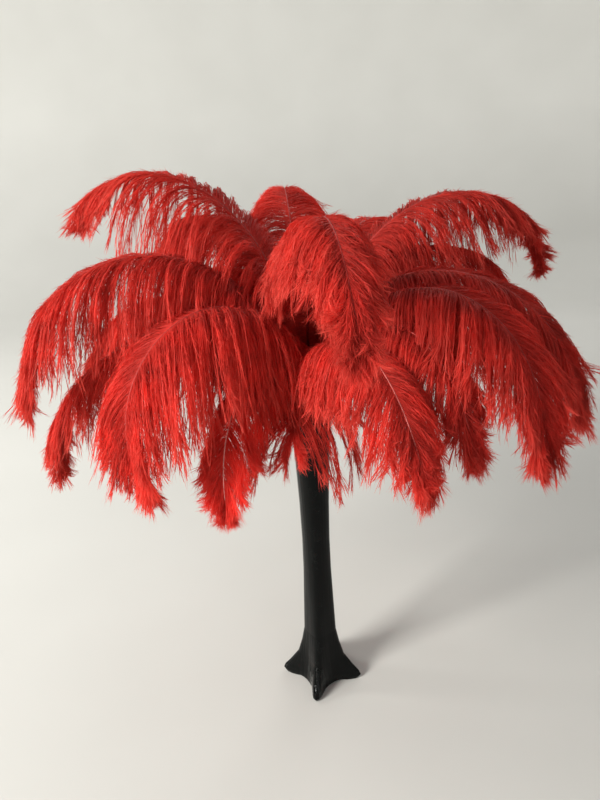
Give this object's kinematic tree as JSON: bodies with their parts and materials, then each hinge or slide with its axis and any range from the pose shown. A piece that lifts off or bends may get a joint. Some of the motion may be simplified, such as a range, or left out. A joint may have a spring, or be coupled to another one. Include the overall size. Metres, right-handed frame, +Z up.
{
  "type": "ostrich feather bouquet in a vase",
  "caption": "Bouquet of long red-dyed ostrich plumes arching out and drooping from the neck of a slender four-footed black glass vase.",
  "frame": {"origin": "on the surface the vase stands on, on the vase's axis, under the middle of the bouquet", "axes": "+Z up the vase; the four feet point along +X, +Y, -X and -Y"},
  "size_m": [0.5668, 0.5995, 0.6291],
  "materials": {
    "black_glass": "opaque glossy black pressed glass, softly ridged, with faint scuffs",
    "dyed_plume": "dyed ostrich plume, long soft fluffy barbs on a tapering quill, translucent at the edges"
  },
  "bodies": {
    "root": {"vase": "black_glass", "plume_upper_01": "dyed_plume", "plume_upper_02": "dyed_plume", "plume_upper_03": "dyed_plume", "plume_upper_04": "dyed_plume", "plume_upper_05": "dyed_plume", "plume_upper_06": "dyed_plume", "plume_upper_07": "dyed_plume", "plume_upper_08": "dyed_plume", "plume_lower_01": "dyed_plume", "plume_lower_02": "dyed_plume", "plume_lower_03": "dyed_plume", "plume_lower_04": "dyed_plume", "plume_lower_05": "dyed_plume", "plume_lower_06": "dyed_plume", "plume_lower_07": "dyed_plume", "plume_lower_08": "dyed_plume", "plume_lower_09": "dyed_plume", "plume_lower_10": "dyed_plume", "plume_lower_11": "dyed_plume", "plume_lower_12": "dyed_plume", "plume_lower_13": "dyed_plume", "plume_lower_14": "dyed_plume"}
  },
  "joints": []
}
